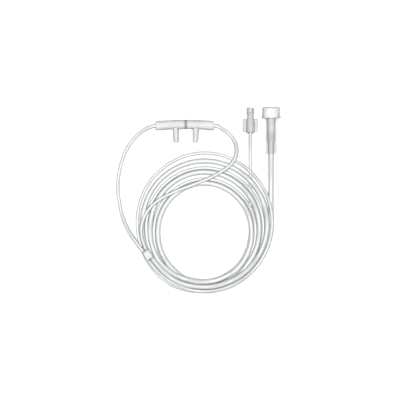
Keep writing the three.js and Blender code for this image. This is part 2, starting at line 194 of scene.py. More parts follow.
# How the two tubes are wound, from the junction on: degrees round from +X, radius, and the height from
# which each one settles. The two ends then run straight towards +Y under the turns.
OXYGEN_TURNS = [
    (211, 61.5, 8.0), (225, 61.1, 9.5), (270, 61.0, 9.8), (315, 61.2, 9.0),
    (360, 62.6, 5.9), (405, 64.2, 4.0), (450, 65.0, 2.5), (495, 64.1, 2.5),
    (540, 62.4, 2.5), (585, 63.4, 2.5), (630, 64.4, 2.5), (660, 61.5, 4.0),
    (675, 58.2, 6.0), (705, 55.4, 4.0), (720, 54.6, 2.5), (765, 53.9, 5.0),
    (810, 54.0, 2.5), (855, 53.8, 2.5), (900, 54.4, 2.5), (945, 57.6, 4.0),
    (990, 56.0, 6.3), (1020, 54.5, 6.5), (1035, 52.6, 5.0), (1065, 48.4, 2.5),
    (1080, 46.6, 5.0), (1125, 43.3, 2.5), (1170, 42.9, 2.5), (1215, 43.4, 2.5),
    (1260, 46.4, 2.5), (1305, 52.6, 2.5), (1350, 59.4, 2.5), (1395, 63.5, 2.5),
    (1440, 66.4, 2.5),
]
SAMPLE_TURNS = [
    (211, 65.6, 8.0), (225, 65.3, 9.5), (270, 65.0, 9.8), (315, 65.4, 8.0),
    (360, 67.4, 6.6), (405, 70.7, 5.0), (450, 73.0, 1.6), (495, 70.7, 1.6),
    (540, 67.3, 1.6), (585, 66.4, 3.0), (630, 65.2, 6.5), (675, 62.0, 6.0),
    (705, 59.5, 3.0), (720, 58.7, 1.6), (765, 57.9, 5.0), (810, 58.1, 1.6),
    (855, 57.8, 1.6), (900, 58.4, 1.6), (945, 61.2, 4.0), (990, 61.9, 5.7),
    (1020, 57.5, 4.0), (1035, 55.5, 4.0), (1065, 52.2, 1.6), (1080, 50.7, 5.0),
    (1125, 47.3, 1.6), (1170, 46.9, 1.6), (1215, 47.4, 1.6), (1260, 50.4, 1.6),
    (1305, 55.8, 1.6), (1350, 55.1, 1.6), (1395, 50.5, 1.6), (1418, 47.4, 1.6),
    (1440, 45.8, 1.6),
]

# Settling of the coil
WINDING_STEP = 2.4  # degrees between points
STRAIGHT_STEP = 2.7
OXYGEN_STRAIGHT_END = 30.0  # how far in +Y of the coil's centre the straight end runs
SAMPLE_STRAIGHT_END = 56.0
SETTLE_ROUNDS = 600
SETTLE_SLOW_ROUNDS = 150  # the last of them, in which the tubes sink more slowly
SINKING = 0.03
SLOW_SINKING = 0.006
PULL_TO_PLAN = 0.08
END_PULL = 0.5  # on the straight ends
STIFFNESS = 0.45
CONTACT_GAP = 0.15
CONTACT_REACH = 6.5  # farther apart than this in X or Y, two points never touch
PAIRS_EVERY = 10  # rounds between searches for the points that may touch
HELD_POINTS = 4  # at the junction, which holds them
SAME_TUBE_REACH = 12  # neighbours along a tube that don't count as contacts
HUMP_REACH = 3  # points before and after the one that an ear tube's hump is eased over


def arch_y(x):
    share = x / (BODY_LENGTH / 2)
    return BODY_ARCH * (BODY_ARCH_MIDDLE - share * share)


# Camera: straight down, as in the photograph, 400 mm across
VIEW_CENTRE = (15.2, -75.0)
VIEW_WIDTH = 400.0
CAMERA_HEIGHT = 6000.0
SENSOR_WIDTH = 36.0
CLIP_END = 30.0  # metres


def make_camera():
    data = bpy.data.cameras.new("camera")
    data.sensor_width = SENSOR_WIDTH
    data.lens = SENSOR_WIDTH * CAMERA_HEIGHT / VIEW_WIDTH
    data.clip_end = CLIP_END
    camera = bpy.data.objects.new("camera", data)
    camera.location = (VIEW_CENTRE[0] * MM, VIEW_CENTRE[1] * MM, CAMERA_HEIGHT * MM)
    bpy.context.collection.objects.link(camera)
    bpy.context.scene.camera = camera


make_camera()


# Routes
def smooth_route(points, spacing=RING_SPACING):
    """Points at even steps along a smooth curve through the given ones."""
    points = [np.array(p, float) for p in points]
    points = [2 * points[0] - points[1], *points, 2 * points[-1] - points[-2]]
    fine = []
    for before, start, end, after in zip(points, points[1:], points[2:], points[3:]):
        count = max(2, int(np.linalg.norm(end - start) / FINE_STEP))
        for i in range(count):
            t = i / count
            fine.append(
                0.5 * (2 * start + (end - before) * t + (2 * before - 5 * start + 4 * end - after) * t**2
                       + (3 * start - before - 3 * end + after) * t**3)
            )
    fine.append(points[-2])
    return even_steps(np.array(fine), spacing)


def even_steps(points, spacing):
    travelled = np.concatenate([[0], np.cumsum(np.linalg.norm(np.diff(points, axis=0), axis=1))])
    count = max(2, int(round(travelled[-1] / spacing)) + 1)
    marks = np.linspace(0, travelled[-1], count)
    return np.stack([np.interp(marks, travelled, points[:, axis]) for axis in range(3)], axis=1)


def value_at(table, angle, column):
    """A smooth value between the table's rows."""
    i = 0
    while i < len(table) - 2 and angle > table[i + 1][0]:
        i += 1
    before, start = table[max(0, i - 1)], table[i]
    end, after = table[i + 1], table[min(len(table) - 1, i + 2)]
    slope_start = (end[column] - before[column]) / (end[0] - before[0])
    slope_end = (after[column] - start[column]) / (after[0] - start[0])
    width = end[0] - start[0]
    t = (angle - start[0]) / width
    return (
        (2 * t**3 - 3 * t**2 + 1) * start[column]
        + (t**3 - 2 * t**2 + t) * width * slope_start
        + (3 * t**2 - 2 * t**3) * end[column]
        + (t**3 - t**2) * width * slope_end
    )


def wound_route(turns, radius, last_y):
    """The planned route about the coil's centre, then straight on in +Y to last_y."""
    route = []
    angle = float(turns[0][0])
    while angle < turns[-1][0]:
        reach = value_at(turns, angle, 1)
        height = max(radius, value_at(turns, angle, 2))
        turn = math.radians(angle)
        route.append((reach * math.cos(turn), reach * math.sin(turn), height))
        angle += WINDING_STEP
    y = 0.0
    while y <= last_y:
        route.append((turns[-1][1], y, radius))
        y += STRAIGHT_STEP
    return np.array(route)


def touching_pairs(places, tube, index):
    apart = np.abs(places[:, None, :2] - places[None, :, :2])
    near = (apart < CONTACT_REACH).all(axis=2)
    along = np.abs(index[:, None] - index[None, :])
    same = (tube[:, None] == tube[None, :]) & (along < SAME_TUBE_REACH)
    return np.nonzero(np.triu(near & ~same, 1))


def settle_coil(routes, radii):
    """Lets the wound tubes sink under their weight until they rest on the floor and on each other."""
    places = np.vstack(routes)
    planned = places.copy()
    radius = np.concatenate([np.full(len(route), r) for route, r in zip(routes, radii)])
    tube = np.concatenate([np.full(len(route), k) for k, route in enumerate(routes)])
    index = np.concatenate([np.arange(len(route)) for route in routes])
    free = index >= HELD_POINTS
    straight = np.concatenate([np.append(np.diff(route[:, 0]) == 0, True) for route in routes])
    pull = np.where(straight, END_PULL, PULL_TO_PLAN)[:, None]
    ends = np.cumsum([0] + [len(route) for route in routes])
    for settled in range(SETTLE_ROUNDS):
        slow = settled >= SETTLE_ROUNDS - SETTLE_SLOW_ROUNDS
        if settled % PAIRS_EVERY == 0:
            first, second = touching_pairs(places, tube, index)
        places[free, 2] -= SLOW_SINKING if slow else SINKING
        places[free, :2] += (pull * (planned[:, :2] - places[:, :2]))[free]
        for start, end in zip(ends, ends[1:]):
            for _ in range(2):
                stiffen(places[start:end], planned[start:end], free[start:end])
        for _ in range(3):
            push_apart(places, radius, first, second, free)
    return [places[start:end] for start, end in zip(ends, ends[1:])]


def stiffen(places, planned, free):
    """The tube resists bending: heights and shifts follow those of their neighbours."""
    height = places[:, 2].copy()
    around = (-places[:-4, 2] + 4 * places[1:-3, 2] + 4 * places[3:-1, 2] - places[4:, 2]) / 6
    height[2:-2] = (1 - STIFFNESS) * places[2:-2, 2] + STIFFNESS * around
    shift = places[:, :2] - planned[:, :2]
    eased = shift.copy()
    eased[1:-1] = (1 - STIFFNESS) * shift[1:-1] + STIFFNESS * (shift[:-2] + shift[2:]) / 2
    places[free, 2] = height[free]
    places[free, :2] = (planned[:, :2] + eased)[free]


def push_apart(places, radius, first, second, free):
    between = places[first] - places[second]
    distance = np.linalg.norm(between, axis=1) + 1e-9
    overlap = np.maximum(0, radius[first] + radius[second] + CONTACT_GAP - distance)
    hit = overlap > 0
    push = between[hit] / distance[hit, None] * (overlap[hit] / 2)[:, None]
    moved = np.zeros_like(places)
    count = np.zeros(len(places))
    np.add.at(moved, first[hit], push)
    np.add.at(moved, second[hit], -push)
    np.add.at(count, first[hit], 1)
    np.add.at(count, second[hit], 1)
    places[free] += (moved / np.maximum(1, count / 2)[:, None])[free]
    places[:, 2] = np.maximum(places[:, 2], radius + FLOOR_GAP)


def make_coil_routes():
    oxygen_radius = OXYGEN_TUBE[0] / 2
    sample_radius = SAMPLE_TUBE[0] / 2
    planned = [
        wound_route(OXYGEN_TURNS, oxygen_radius, OXYGEN_STRAIGHT_END),
        wound_route(SAMPLE_TURNS, sample_radius, SAMPLE_STRAIGHT_END),
    ]
    settled = settle_coil(planned, [oxygen_radius, sample_radius])
    return [route + np.array([COIL_X, COIL_Y, 0]) for route in settled]


def rest_on(route, radius, others):
    """Raises a route where it would cut into the tubes below it, in long low humps."""
    need = route[:, 2].copy()
    for other, other_radius in others:
        apart = np.linalg.norm(route[:, None, :2] - other[None, :, :2], axis=2)
        reach = radius + other_radius + SEAT_GAP
        over = np.sqrt(np.maximum(0, reach**2 - apart**2))
        need = np.maximum(need, np.where(apart < reach, other[None, :, 2] + over, -1).max(axis=1))
    spans = [slice(max(0, i - HUMP_REACH), i + HUMP_REACH + 1) for i in range(len(need))]
    wide = np.array([need[span].max() for span in spans])
    eased = np.array([wide[span].mean() for span in spans])
    raised = route.copy()
    raised[:, 2] = np.maximum(eased, route[:, 2])
    return raised


def junction_point(along, across):
    c, s = math.cos(JUNCTION_ANGLE), math.sin(JUNCTION_ANGLE)
    return (JUNCTION_X + c * along - s * across, JUNCTION_Y + s * along + c * across, JUNCTION_Z)


def oxygen_frame():
    place = Vector((OXYGEN_X, OXYGEN_MOUTH_Y - OXYGEN_LENGTH * math.cos(OXYGEN_LEAN),
                    FLOOR_GAP + SLEEVE_DIAMETER / 2 * math.cos(OXYGEN_LEAN)))
    return Matrix.Translation(place) @ Matrix.Rotation(OXYGEN_LEAN, 4, "X")


def ear_route(side, middle, coil):
    end_x = side * BODY_LENGTH / 2
    end_y = arch_y(end_x)
    start = [(end_x - side * EAR_TUBE_INSERTION, end_y, BODY_MID_Z), (end_x, end_y, BODY_MID_Z)]
    across = side * (EAR_TUBE[0] + FIT_GAP) / 2
    entry = -JUNCTION_LENGTH / 2 - FIT_GAP
    entries = [junction_point(entry - back, across) for back in (JUNCTION_ENTRY_RUN, 0.0)]
    route = smooth_route([*start, *middle, *entries])
    return rest_on(route, EAR_TUBE[0] / 2, coil)


def full_oxygen_route(coil):
    start = [junction_point(JUNCTION_LENGTH / 2 + FIT_GAP, JUNCTION_OXYGEN_SIDE)]
    barrel_end = SLEEVE_LENGTH - OXYGEN_BARREL_LENGTH
    inside = [
        tuple(oxygen_frame() @ Vector((0, y, 0)))
        for y in (0, barrel_end, barrel_end + OXYGEN_TUBE_INSERTION)
    ]
    return smooth_route([*start, *coil[1:], *reversed(OXYGEN_LEAD_ROUTE[:-1]), *inside])


def full_sample_route(coil):
    start = [junction_point(JUNCTION_LENGTH / 2 + FIT_GAP, JUNCTION_SAMPLE_SIDE)]
    tube_end = LUER_MOUTH_Y - LUER_LENGTH
    depths = (0, LUER_TUBE_INSERTION / 2, LUER_TUBE_INSERTION)
    inside = [(LUER_X, tube_end + depth, LUER_Z) for depth in depths]
    return smooth_route([*start, *coil[1:], *reversed(SAMPLE_LEAD_ROUTE[:-1]), *inside])


# Meshes
EDGE_ROUNDING = 0.15
EDGE_ANGLE = math.radians(35)  # a flatter edge than this isn't rounded


def add_object(name, mesh):
    thing = bpy.data.objects.new(name, mesh)
    bpy.context.collection.objects.link(thing)
    return thing


def tube_mesh(name, route, diameter, bore):
    """A hollow tube along the route: its outside, its bore and the rings that close its two ends."""
    route = np.asarray(route) * MM
    directions = np.gradient(route, axis=0)
    directions /= np.linalg.norm(directions, axis=1)[:, None]
    side = np.cross(directions[0], (0, 0, 1.0))
    side /= np.linalg.norm(side)
    mesh = bmesh.new()
    along = mesh.loops.layers.uv.new("along")
    skins = {"outside": [], "bore": []}
    travelled = np.concatenate([[0], np.cumsum(np.linalg.norm(np.diff(route, axis=0), axis=1))])
    for place, direction in zip(route, directions):
        side = side - direction * side.dot(direction)
        side /= np.linalg.norm(side)
        other = np.cross(direction, side)
        for skin, reach in (("outside", diameter / 2 * MM), ("bore", bore / 2 * MM)):
            ring = []
            for k in range(TUBE_SIDES):
                angle = 2 * math.pi * k / TUBE_SIDES
                outwards = math.cos(angle) * side + math.sin(angle) * other
                ring.append(mesh.verts.new(place + reach * outwards))
            skins[skin].append(ring)

    def strip(one, two, low, high):
        for k in range(TUBE_SIDES):
            n = (k + 1) % TUBE_SIDES
            face = mesh.faces.new((one[k], one[n], two[n], two[k]))
            face.smooth = True
            left, right = k / TUBE_SIDES, (k + 1) / TUBE_SIDES
            spots = ((left, low), (right, low), (right, high), (left, high))
            for loop, spot in zip(face.loops, spots):
                loop[along].uv = spot

    for i in range(len(route) - 1):
        strip(skins["outside"][i], skins["outside"][i + 1], travelled[i], travelled[i + 1])
        strip(skins["bore"][i + 1], skins["bore"][i], travelled[i + 1], travelled[i])
    for end, flip in ((0, False), (-1, True)):
        one, two = skins["bore"][end], skins["outside"][end]
        strip(*((two, one) if flip else (one, two)), 0, 0)
    bmesh.ops.recalc_face_normals(mesh, faces=mesh.faces)
    data = bpy.data.meshes.new(name)
    mesh.to_mesh(data)
    mesh.free()
    return add_object(name, data)


def bake(thing):
    """Applies the modifiers of a piece to its mesh."""
    bpy.context.view_layer.update()
    result = bpy.data.meshes.new_from_object(thing.evaluated_get(bpy.context.evaluated_depsgraph_get()))
    thing.modifiers.clear()
    thing.data = result
    return thing


def remove(thing):
    bpy.data.objects.remove(thing, do_unlink=True)


def combine(base, tools):
    """Joins or cuts the base with each (operation, tool) and deletes the tools."""
    for operation, tool in tools:
        cut = base.modifiers.new("cut", "BOOLEAN")
        cut.operation = operation
        cut.solver = "EXACT"
        cut.object = tool
        bake(base)
        remove(tool)
    return base


def soften(thing, voxel, rounds):
    """Rounds every edge a little, as moulding does."""
    remesh = thing.modifiers.new("remesh", "REMESH")
    remesh.mode = "VOXEL"
    remesh.voxel_size = voxel * MM
    remesh.adaptivity = 0.0
    remesh.use_smooth_shade = True
    smooth = thing.modifiers.new("smooth", "SMOOTH")
    smooth.factor = 0.5
    smooth.iterations = rounds
    return bake(thing)


def mesh_from(name, corners, faces):
    data = bpy.data.meshes.new(name)
    data.from_pydata([tuple(c * MM for c in corner) for corner in corners], [], faces)
    data.update()
    return add_object(name, data)


def lofted(name, sections):
    """A closed body through sections that have as many points each."""
    count = len(sections[0])
    corners = [corner for section in sections for corner in section]
    faces = []
    for one in range(0, len(corners) - count, count):
        two = one + count
        for k in range(count):
            n = (k + 1) % count
            faces.append((one + k, one + n, two + n, two + k))
    faces.append(tuple(range(count)))
    faces.append(tuple(range(len(corners) - 1, len(corners) - count - 1, -1)))
    return outward(mesh_from(name, corners, faces))


def turned(name, profile, segments=72, closed=False):
    """A body of revolution about its own Y axis, from points (radius, y)."""
    corners, faces, rings = [], [], []
    for radius, y in profile:
        if radius < 1e-6:
            rings.append([len(corners)])
            corners.append((0, y, 0))
            continue
        ring = []
        for k in range(segments):
            angle = 2 * math.pi * k / segments
            ring.append(len(corners))
            corners.append((radius * math.sin(angle), y, radius * math.cos(angle)))
        rings.append(ring)
    following = rings[1:] + ([rings[0]] if closed else [])
    for one, two in zip(rings, following):
        for k in range(segments):
            n = (k + 1) % segments
            face = [one[k % len(one)], one[n % len(one)], two[n % len(two)], two[k % len(two)]]
            faces.append(list(dict.fromkeys(face)))
    return outward(mesh_from(name, corners, faces))


def outward(thing):
    mesh = bmesh.new()
    mesh.from_mesh(thing.data)
    bmesh.ops.recalc_face_normals(mesh, faces=mesh.faces)
    mesh.to_mesh(thing.data)
    mesh.free()
    return thing


def round_edges(thing, width, segments=3):
    bevel = thing.modifiers.new("bevel", "BEVEL")
    bevel.width = width * MM
    bevel.segments = segments
    bevel.limit_method = "ANGLE"
    bevel.angle_limit = EDGE_ANGLE
    bake(thing)
    for face in thing.data.polygons:
        face.use_smooth = True
    return thing


def rounded_corner(centre, radius, start, count=7):
    """A quarter round from start degrees on."""
    spots = []
    for i in range(count):
        angle = math.radians(start + 90 * i / (count - 1))
        spots.append((centre[0] + radius * math.cos(angle), centre[1] + radius * math.sin(angle)))
    return spots


def bar_section(depth, height, upper, lower):
    half, low, high = depth / 2, -height / 2, height / 2
    return [
        *rounded_corner((half - lower, low + lower), lower, -90),
        *rounded_corner((half - upper, high - upper), upper, 0),
        *rounded_corner((-half + upper, high - upper), upper, 90),
        *rounded_corner((-half + lower, low + lower), lower, 180),
    ]


def arched_bar(name, stations, bottom=None):
    """The bar along X from stations (x, depth, height, upper corner, lower corner)."""
    sections = []
    for x, depth, height, upper, lower in stations:
        section = []
        for y, z in bar_section(depth, height, upper, lower):
            place_z = BODY_MID_Z + z
            if bottom is not None:
                place_z = max(place_z, bottom)
            section.append((x, y + arch_y(x), place_z))
        sections.append(section)
    return lofted(name, sections)


def rod(name, start, end, start_diameter, end_diameter, segments=40):
    """A round tapered rod between two points."""
    start, end = Vector(start), Vector(end)
    thing = turned(name, [(0, 0), (start_diameter / 2, 0), (end_diameter / 2, (end - start).length),
                          (0, (end - start).length)], segments)
    turn = Vector((0, 1, 0)).rotation_difference((end - start).normalized()).to_matrix().to_4x4()
    thing.data.transform(Matrix.Translation(start * MM) @ turn)
    return thing


# Nasal piece
LUMEN_HALF = BODY_LENGTH / 2 - BODY_END_WALL
PRONG_ROOT_Y = arch_y(DIVIDER_X) - BODY_DEPTH / 2
PRONG_TIP_Y = PRONG_ROOT_Y - PRONG_LENGTH
BODY_VOXEL = 0.2


def even_stations(from_x, to_x, sizes, count=24):
    return [(from_x + (to_x - from_x) * i / count, *sizes) for i in range(count + 1)]


def prong_rod(name, side, root_diameter, tip_diameter, start_y, tip_y):
    root_x = DIVIDER_X + side * PRONG_SPACING / 2
    return rod(name, (root_x, start_y, BODY_MID_Z), (root_x - side * PRONG_LEAN, tip_y, BODY_MID_Z),
               root_diameter, tip_diameter)


def make_nasal_piece():
    half = BODY_LENGTH / 2
    outside_sizes = (BODY_DEPTH, BODY_HEIGHT, BODY_CORNER, BODY_FOOT_CORNER)
    lumen_sizes = (BODY_DEPTH - 2 * BODY_WALL, BODY_HEIGHT - 2 * BODY_WALL,
                   BODY_CORNER - BODY_WALL, BODY_FOOT_CORNER / 2)
    piece = arched_bar("nasal_piece", even_stations(-half, half, outside_sizes))
    tools = []
    for side in (-1, 1):
        tools.append(("UNION", prong_rod("prong", side, PRONG_ROOT_DIAMETER, PRONG_TIP_DIAMETER,
                                         PRONG_ROOT_Y + BODY_WALL, PRONG_TIP_Y)))
    tools.append(("DIFFERENCE", arched_bar("lumen", even_stations(-LUMEN_HALF, LUMEN_HALF, lumen_sizes))))
    for side in (-1, 1):
        tools.append(("DIFFERENCE", prong_rod("prong_bore", side, PRONG_BORE, PRONG_BORE,
                                              PRONG_ROOT_Y + 2 * BODY_WALL, PRONG_TIP_Y - OVERCUT)))
        socket = EAR_TUBE[0] + 2 * SEAT_GAP
        ends = [(side * x, arch_y(half), BODY_MID_Z) for x in (LUMEN_HALF - OVERCUT, half + OVERCUT)]
        tools.append(("DIFFERENCE", rod("socket", *ends, socket, socket)))
    slot_half = DIVIDER_WIDTH / 2 + DIVIDER_SLOT_GAP
    slot_sizes = (BODY_DEPTH + 2 * OVERCUT, BODY_HEIGHT + 2 * OVERCUT, BODY_FOOT_CORNER, BODY_FOOT_CORNER)
    slot = arched_bar("slot", even_stations(DIVIDER_X - slot_half, DIVIDER_X + slot_half, slot_sizes, 1),
                      bottom=BODY_WALL)
    tools.append(("DIFFERENCE", slot))
    combine(piece, tools)
    return soften(piece, BODY_VOXEL, 1)


def make_divider():
    half = DIVIDER_WIDTH / 2 - DIVIDER_SIDE_GAP
    sizes = (BODY_DEPTH, BODY_HEIGHT, BODY_CORNER, BODY_FOOT_CORNER)
    plate = arched_bar("divider_plate", even_stations(DIVIDER_X - half, DIVIDER_X + half, sizes, 4),
                       bottom=BODY_WALL + FIT_GAP)
    return round_edges(plate, DIVIDER_ROUNDING)


# Junction
def make_junction():
    half = JUNCTION_LENGTH / 2
    spread = JUNCTION_WIDE_WIDTH - JUNCTION_NARROW_WIDTH
    sections = []
    for x, swell in (
        (-half, 0.86),
        (-half + 0.5, 1.0),
        (-half + 2.4, 1.0),
        (half - 2.0, 1.0),
        (half - 0.5, 1.0),
        (half, 0.88),
    ):
        width = (JUNCTION_NARROW_WIDTH + spread * (x + half) / JUNCTION_LENGTH) * swell
        thickness = JUNCTION_THICKNESS * swell
        outline = bar_section(width, thickness, JUNCTION_CORNER, JUNCTION_CORNER)
        sections.append([(x, y, z) for y, z in outline])
    wedge = lofted("junction_wedge", sections)
    place = Matrix.Translation(Vector((JUNCTION_X, JUNCTION_Y, JUNCTION_Z)) * MM)
    wedge.data.transform(place @ Matrix.Rotation(JUNCTION_ANGLE, 4, "Z"))
    return round_edges(wedge, EDGE_ROUNDING)


# Luer connector
LUER_VOXEL = 0.13
RIB_STEPS = 40
RIB_ROOT = 0.4  # how deep a rib's foot lies in the stem
RIB_FADE = 8  # a rib thins out over about an eighth of its length at each end
RIB_END_SHARE = 0.1  # of its height, left at its very end
RIB_FOOT_HALF = 0.6  # of its width
RIB_CREST_HALF = 0.25


def luer_rib(start):
    """One of the thread's two ribs, which winds down the stem and thins out at its ends."""
    thread_height = (LUER_THREAD_DIAMETER - LUER_STEM_DIAMETER) / 2
    inner = LUER_STEM_DIAMETER / 2 - RIB_ROOT
    sections = []
    for i in range(RIB_STEPS + 1):
        share = i / RIB_STEPS
        turns = LUER_THREAD_TURNS * share
        angle = 2 * math.pi * (turns + start / LUER_THREAD_STARTS)
        y = -LUER_FLANGE_THICKNESS - LUER_THREAD_WIDTH - LUER_THREAD_LEAD * turns
        swell = min(1.0, RIB_FADE * share + RIB_END_SHARE, RIB_FADE * (1 - share) + RIB_END_SHARE)
        outer = LUER_STEM_DIAMETER / 2 + thread_height * swell
        profile = (
            (inner, -RIB_FOOT_HALF),
            (outer, -RIB_CREST_HALF),
            (outer, RIB_CREST_HALF),
            (inner, RIB_FOOT_HALF),
        )
        sections.append([
            (radius * math.cos(angle), y + rise * LUER_THREAD_WIDTH, radius * math.sin(angle))
            for radius, rise in profile
        ])
    return lofted("luer_rib", sections)


def luer_wings():
    round_off = LUER_WING_CORNER
    right = LUER_WING_SPAN / 2 - round_off
    top = -LUER_STEM_LENGTH - round_off
    low = -LUER_STEM_LENGTH - LUER_WING_LENGTH + round_off
    outline = [
        *rounded_corner((right, low), round_off, -90, 4),
        *rounded_corner((right, top), round_off, 0, 4),
        *rounded_corner((-right, top), round_off, 90, 4),
        *rounded_corner((-right, low), round_off, 180, 4),
    ]
    half = LUER_WING_THICKNESS / 2
    return lofted("luer_wings", [[(x, y, z) for x, y in outline] for z in (-half, half)])


def make_luer():
    hub = LUER_HUB_DIAMETER / 2
    stem = LUER_STEM_DIAMETER / 2
    flange = LUER_FLANGE_DIAMETER / 2
    piece = turned("luer_fitting", [
        (0, -LUER_LENGTH), (hub - LUER_HUB_CHAMFER, -LUER_LENGTH), (hub, -LUER_LENGTH + LUER_HUB_CHAMFER),
        (hub, -LUER_STEM_LENGTH), (stem, -LUER_STEM_LENGTH), (stem, -LUER_FLANGE_THICKNESS),
        (flange, -LUER_FLANGE_THICKNESS), (flange, 0), (0, 0),
    ])
    tube_bore = SAMPLE_TUBE[0] / 2 + SEAT_GAP
    step = -LUER_LENGTH + LUER_TUBE_INSERTION + STOP_GAP
    bore = turned("luer_bore", [
        (0, -LUER_LENGTH - OVERCUT), (tube_bore, -LUER_LENGTH - OVERCUT), (tube_bore, step),
        (tube_bore - LUER_TUBE_STEP, step), (LUER_TAPER_BORE / 2, OVERCUT), (0, OVERCUT),
    ])
    ribs = [("UNION", luer_rib(start)) for start in range(LUER_THREAD_STARTS)]
    combine(piece, [*ribs, ("UNION", luer_wings()), ("DIFFERENCE", bore)])
    soften(piece, LUER_VOXEL, 1)
    piece.data.transform(Matrix.Translation(Vector((LUER_X, LUER_MOUTH_Y, LUER_Z)) * MM))
    return piece


# Oxygen connector
def place_in_oxygen_frame(thing):
    shift = oxygen_frame()
    shift.translation *= MM
    thing.data.transform(shift)
    return thing


def make_oxygen_body():
    barrel_end = SLEEVE_LENGTH - OXYGEN_BARREL_LENGTH
    head_y = SLEEVE_LENGTH + OXYGEN_RIM_LENGTH
    socket_y = OXYGEN_LENGTH - OXYGEN_SOCKET_DEPTH
    tube_stop = barrel_end + OXYGEN_TUBE_INSERTION + STOP_GAP
    tube_bore = OXYGEN_TUBE[0] / 2 + SEAT_GAP
    gas_bore = OXYGEN_GAS_BORE / 2
    barrel = OXYGEN_BARREL_DIAMETER / 2
    rim = OXYGEN_RIM_DIAMETER / 2
    head = OXYGEN_HEAD_DIAMETER / 2
    socket = OXYGEN_SOCKET_DIAMETER / 2
    piece = turned("oxygen_head_and_barrel", [
        (tube_bore, barrel_end), (barrel, barrel_end), (barrel, SLEEVE_LENGTH + FIT_GAP),
        (rim, SLEEVE_LENGTH + FIT_GAP), (rim, head_y), (head, head_y),
        (head, OXYGEN_LENGTH), (socket, OXYGEN_LENGTH), (socket - OXYGEN_SOCKET_TAPER, socket_y),
        (gas_bore, socket_y), (gas_bore, tube_stop), (tube_bore, tube_stop),
    ], segments=96, closed=True)
    return place_in_oxygen_frame(round_edges(piece, EDGE_ROUNDING))


def make_oxygen_sleeve():
    bore = OXYGEN_BARREL_DIAMETER / 2 + SLEEVE_BORE_GAP
    tube_hole = OXYGEN_TUBE[0] / 2 + SEAT_GAP
    piece = turned("oxygen_outer_sleeve", [
        (tube_hole, 0), (SLEEVE_DIAMETER / 2, 0), (SLEEVE_DIAMETER / 2, SLEEVE_LENGTH),
        (bore, SLEEVE_LENGTH), (bore, SLEEVE_END_WALL), (tube_hole, SLEEVE_END_WALL),
    ], segments=96, closed=True)
    return place_in_oxygen_frame(round_edges(piece, EDGE_ROUNDING))


# Materials
LIGHT_SPREAD = 5  # how far light goes inside a fully milky plastic
PLASTIC_IOR = 1.5
PLASTIC_SPECULAR = 0.12
TUBING_SPECULAR = 0.15
NOISE_LOW = 0.3  # nearly all of a noise's values lie between these two
NOISE_HIGH = 0.7


def new_material(name):
    material = bpy.data.materials.new(name)
    material.use_nodes = True
    nodes = material.node_tree.nodes
    nodes.clear()
    output = nodes.new("ShaderNodeOutputMaterial")
    shader = nodes.new("ShaderNodeBsdfPrincipled")
    material.node_tree.links.new(shader.outputs["BSDF"], output.inputs["Surface"])
    return material, nodes, material.node_tree.links, shader


def set_numbers(shader, **numbers):
    for name, number in numbers.items():
        shader.inputs[name.replace("_", " ")].default_value = number


def noise(nodes, links, scale, detail=2.0, stretch=None, source="Object"):
    coordinates = nodes.new("ShaderNodeTexCoord")
    texture = nodes.new("ShaderNodeTexNoise")
    texture.inputs["Scale"].default_value = scale
    texture.inputs["Detail"].default_value = detail
    if stretch is None:
        links.new(coordinates.outputs[source], texture.inputs["Vector"])
    else:
        mapping = nodes.new("ShaderNodeMapping")
        mapping.inputs["Scale"].default_value = stretch
        links.new(coordinates.outputs[source], mapping.inputs["Vector"])
        links.new(mapping.outputs["Vector"], texture.inputs["Vector"])
    return texture.outputs["Fac"]


def ranged(nodes, links, value, low, high):
    scale = nodes.new("ShaderNodeMapRange")
    scale.inputs["From Min"].default_value = NOISE_LOW
    scale.inputs["From Max"].default_value = NOISE_HIGH
    scale.inputs["To Min"].default_value = low
    scale.inputs["To Max"].default_value = high
    links.new(value, scale.inputs["Value"])
    return scale.outputs["Result"]


def tinted(nodes, links, value, dark, light):
    ramp = nodes.new("ShaderNodeValToRGB")
    ramp.color_ramp.elements[0].position = NOISE_LOW
    ramp.color_ramp.elements[0].color = (*dark, 1)
    ramp.color_ramp.elements[1].position = NOISE_HIGH
    ramp.color_ramp.elements[1].color = (*light, 1)
    links.new(value, ramp.inputs["Fac"])
    return ramp.outputs["Color"]


def bumped(nodes, links, shader, value, strength, distance):
    bump = nodes.new("ShaderNodeBump")
    bump.inputs["Strength"].default_value = strength
    bump.inputs["Distance"].default_value = distance * MM
    links.new(value, bump.inputs["Height"])
    links.new(bump.outputs["Normal"], shader.inputs["Normal"])


def plastic(name, dark, light, rough, grain, strength, alpha=1.0, milky=0.0):
    """A moulded plastic, a little uneven in colour, gloss and surface; light spreads in a milky one."""
    material, nodes, links, shader = new_material(name)
    set_numbers(shader, Alpha=alpha, IOR=PLASTIC_IOR, Specular_IOR_Level=PLASTIC_SPECULAR)
    set_numbers(shader, Subsurface_Weight=milky, Subsurface_Scale=milky * LIGHT_SPREAD * MM)
    shader.inputs["Subsurface Radius"].default_value = (1.0, 1.0, 1.0)
    links.new(tinted(nodes, links, noise(nodes, links, 90.0), dark, light), shader.inputs["Base Color"])
    links.new(ranged(nodes, links, noise(nodes, links, 260.0, 4.0), *rough), shader.inputs["Roughness"])
    bumped(nodes, links, shader, noise(nodes, links, grain, 3.0), strength, 0.02)
    return material


def tubing(name, dark, light, transmission, rough):
    """Extruded tubing: fine lines run along it, and its gloss varies."""
    material, nodes, links, shader = new_material(name)
    set_numbers(shader, Transmission_Weight=transmission)
    set_numbers(shader, IOR=PLASTIC_IOR, Specular_IOR_Level=TUBING_SPECULAR)
    links.new(tinted(nodes, links, noise(nodes, links, 60.0), dark, light), shader.inputs["Base Color"])
    lines = noise(nodes, links, 12.0, 3.0, stretch=(3.0, 25.0, 1.0), source="UV")
    links.new(ranged(nodes, links, lines, *rough), shader.inputs["Roughness"])
    bumped(nodes, links, shader, lines, 0.25, 0.04)
    return material


